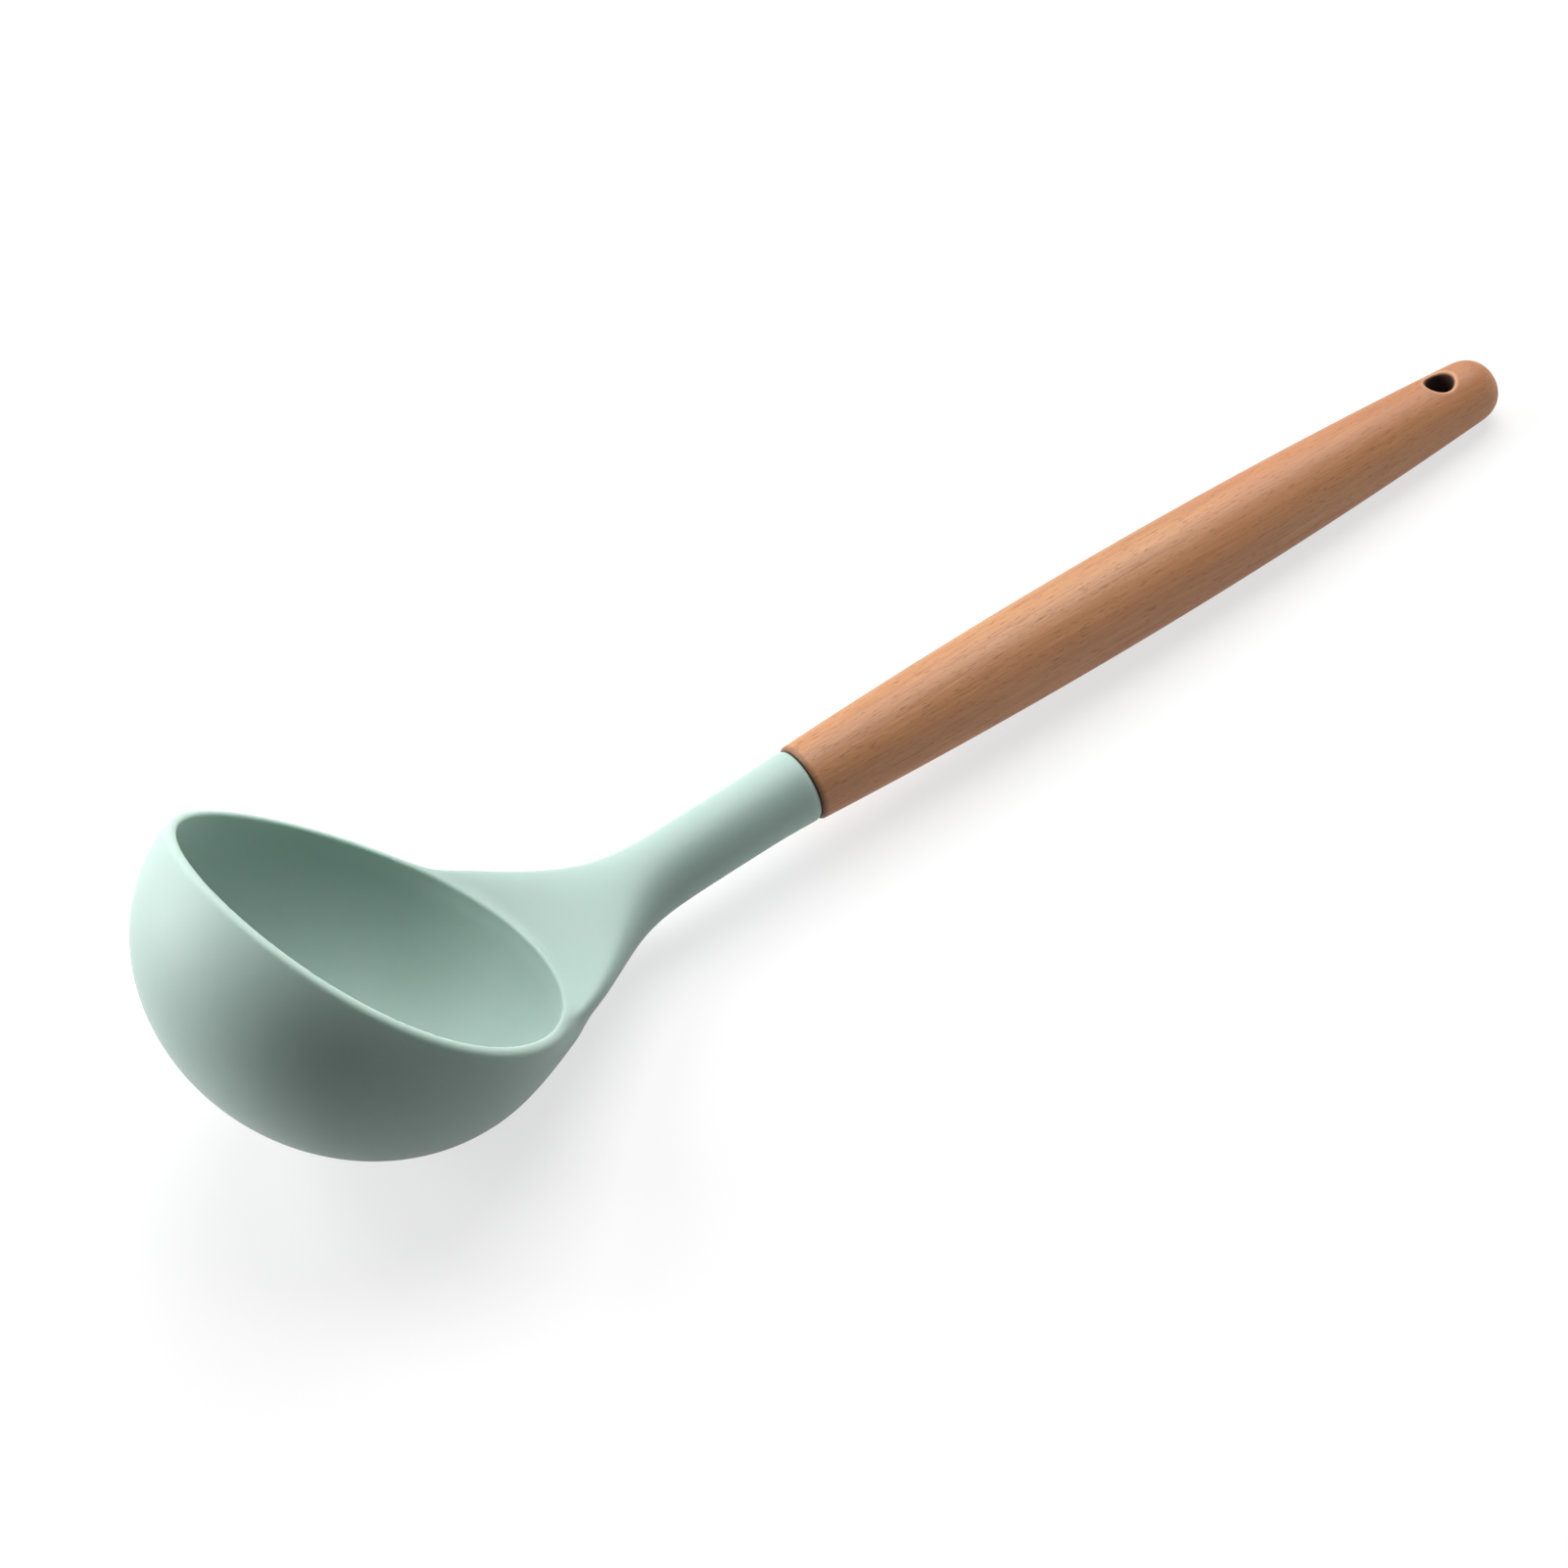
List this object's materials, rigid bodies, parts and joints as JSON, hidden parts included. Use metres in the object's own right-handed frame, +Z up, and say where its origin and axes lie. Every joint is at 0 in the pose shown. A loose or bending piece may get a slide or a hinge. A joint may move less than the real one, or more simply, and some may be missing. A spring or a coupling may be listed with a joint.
{
  "type": "soup ladle",
  "caption": "Soup ladle with a deep round silicone bowl, a flared neck set at an angle and a turned wooden handle with a hanging hole near its tip.",
  "frame": {"origin": "centre of the bounding box in plan, on the table the ladle lies on", "axes": "+X from the bowl to the tip of the handle, +Z up, XZ the plane of symmetry; the ladle lies on the underside of its bowl and on the belly of its handle"},
  "size_m": [0.3296, 0.09, 0.0802],
  "materials": {
    "silicone": "matt moulded silicone, pale mint green",
    "nylon": "moulded glass-filled nylon",
    "glue": "cured epoxy",
    "beech": "turned beech, satin oiled"
  },
  "bodies": {
    "root": {"silicone_head": "silicone", "nylon_core": "nylon", "glue_bond": "glue", "wooden_handle": "beech"}
  },
  "joints": []
}
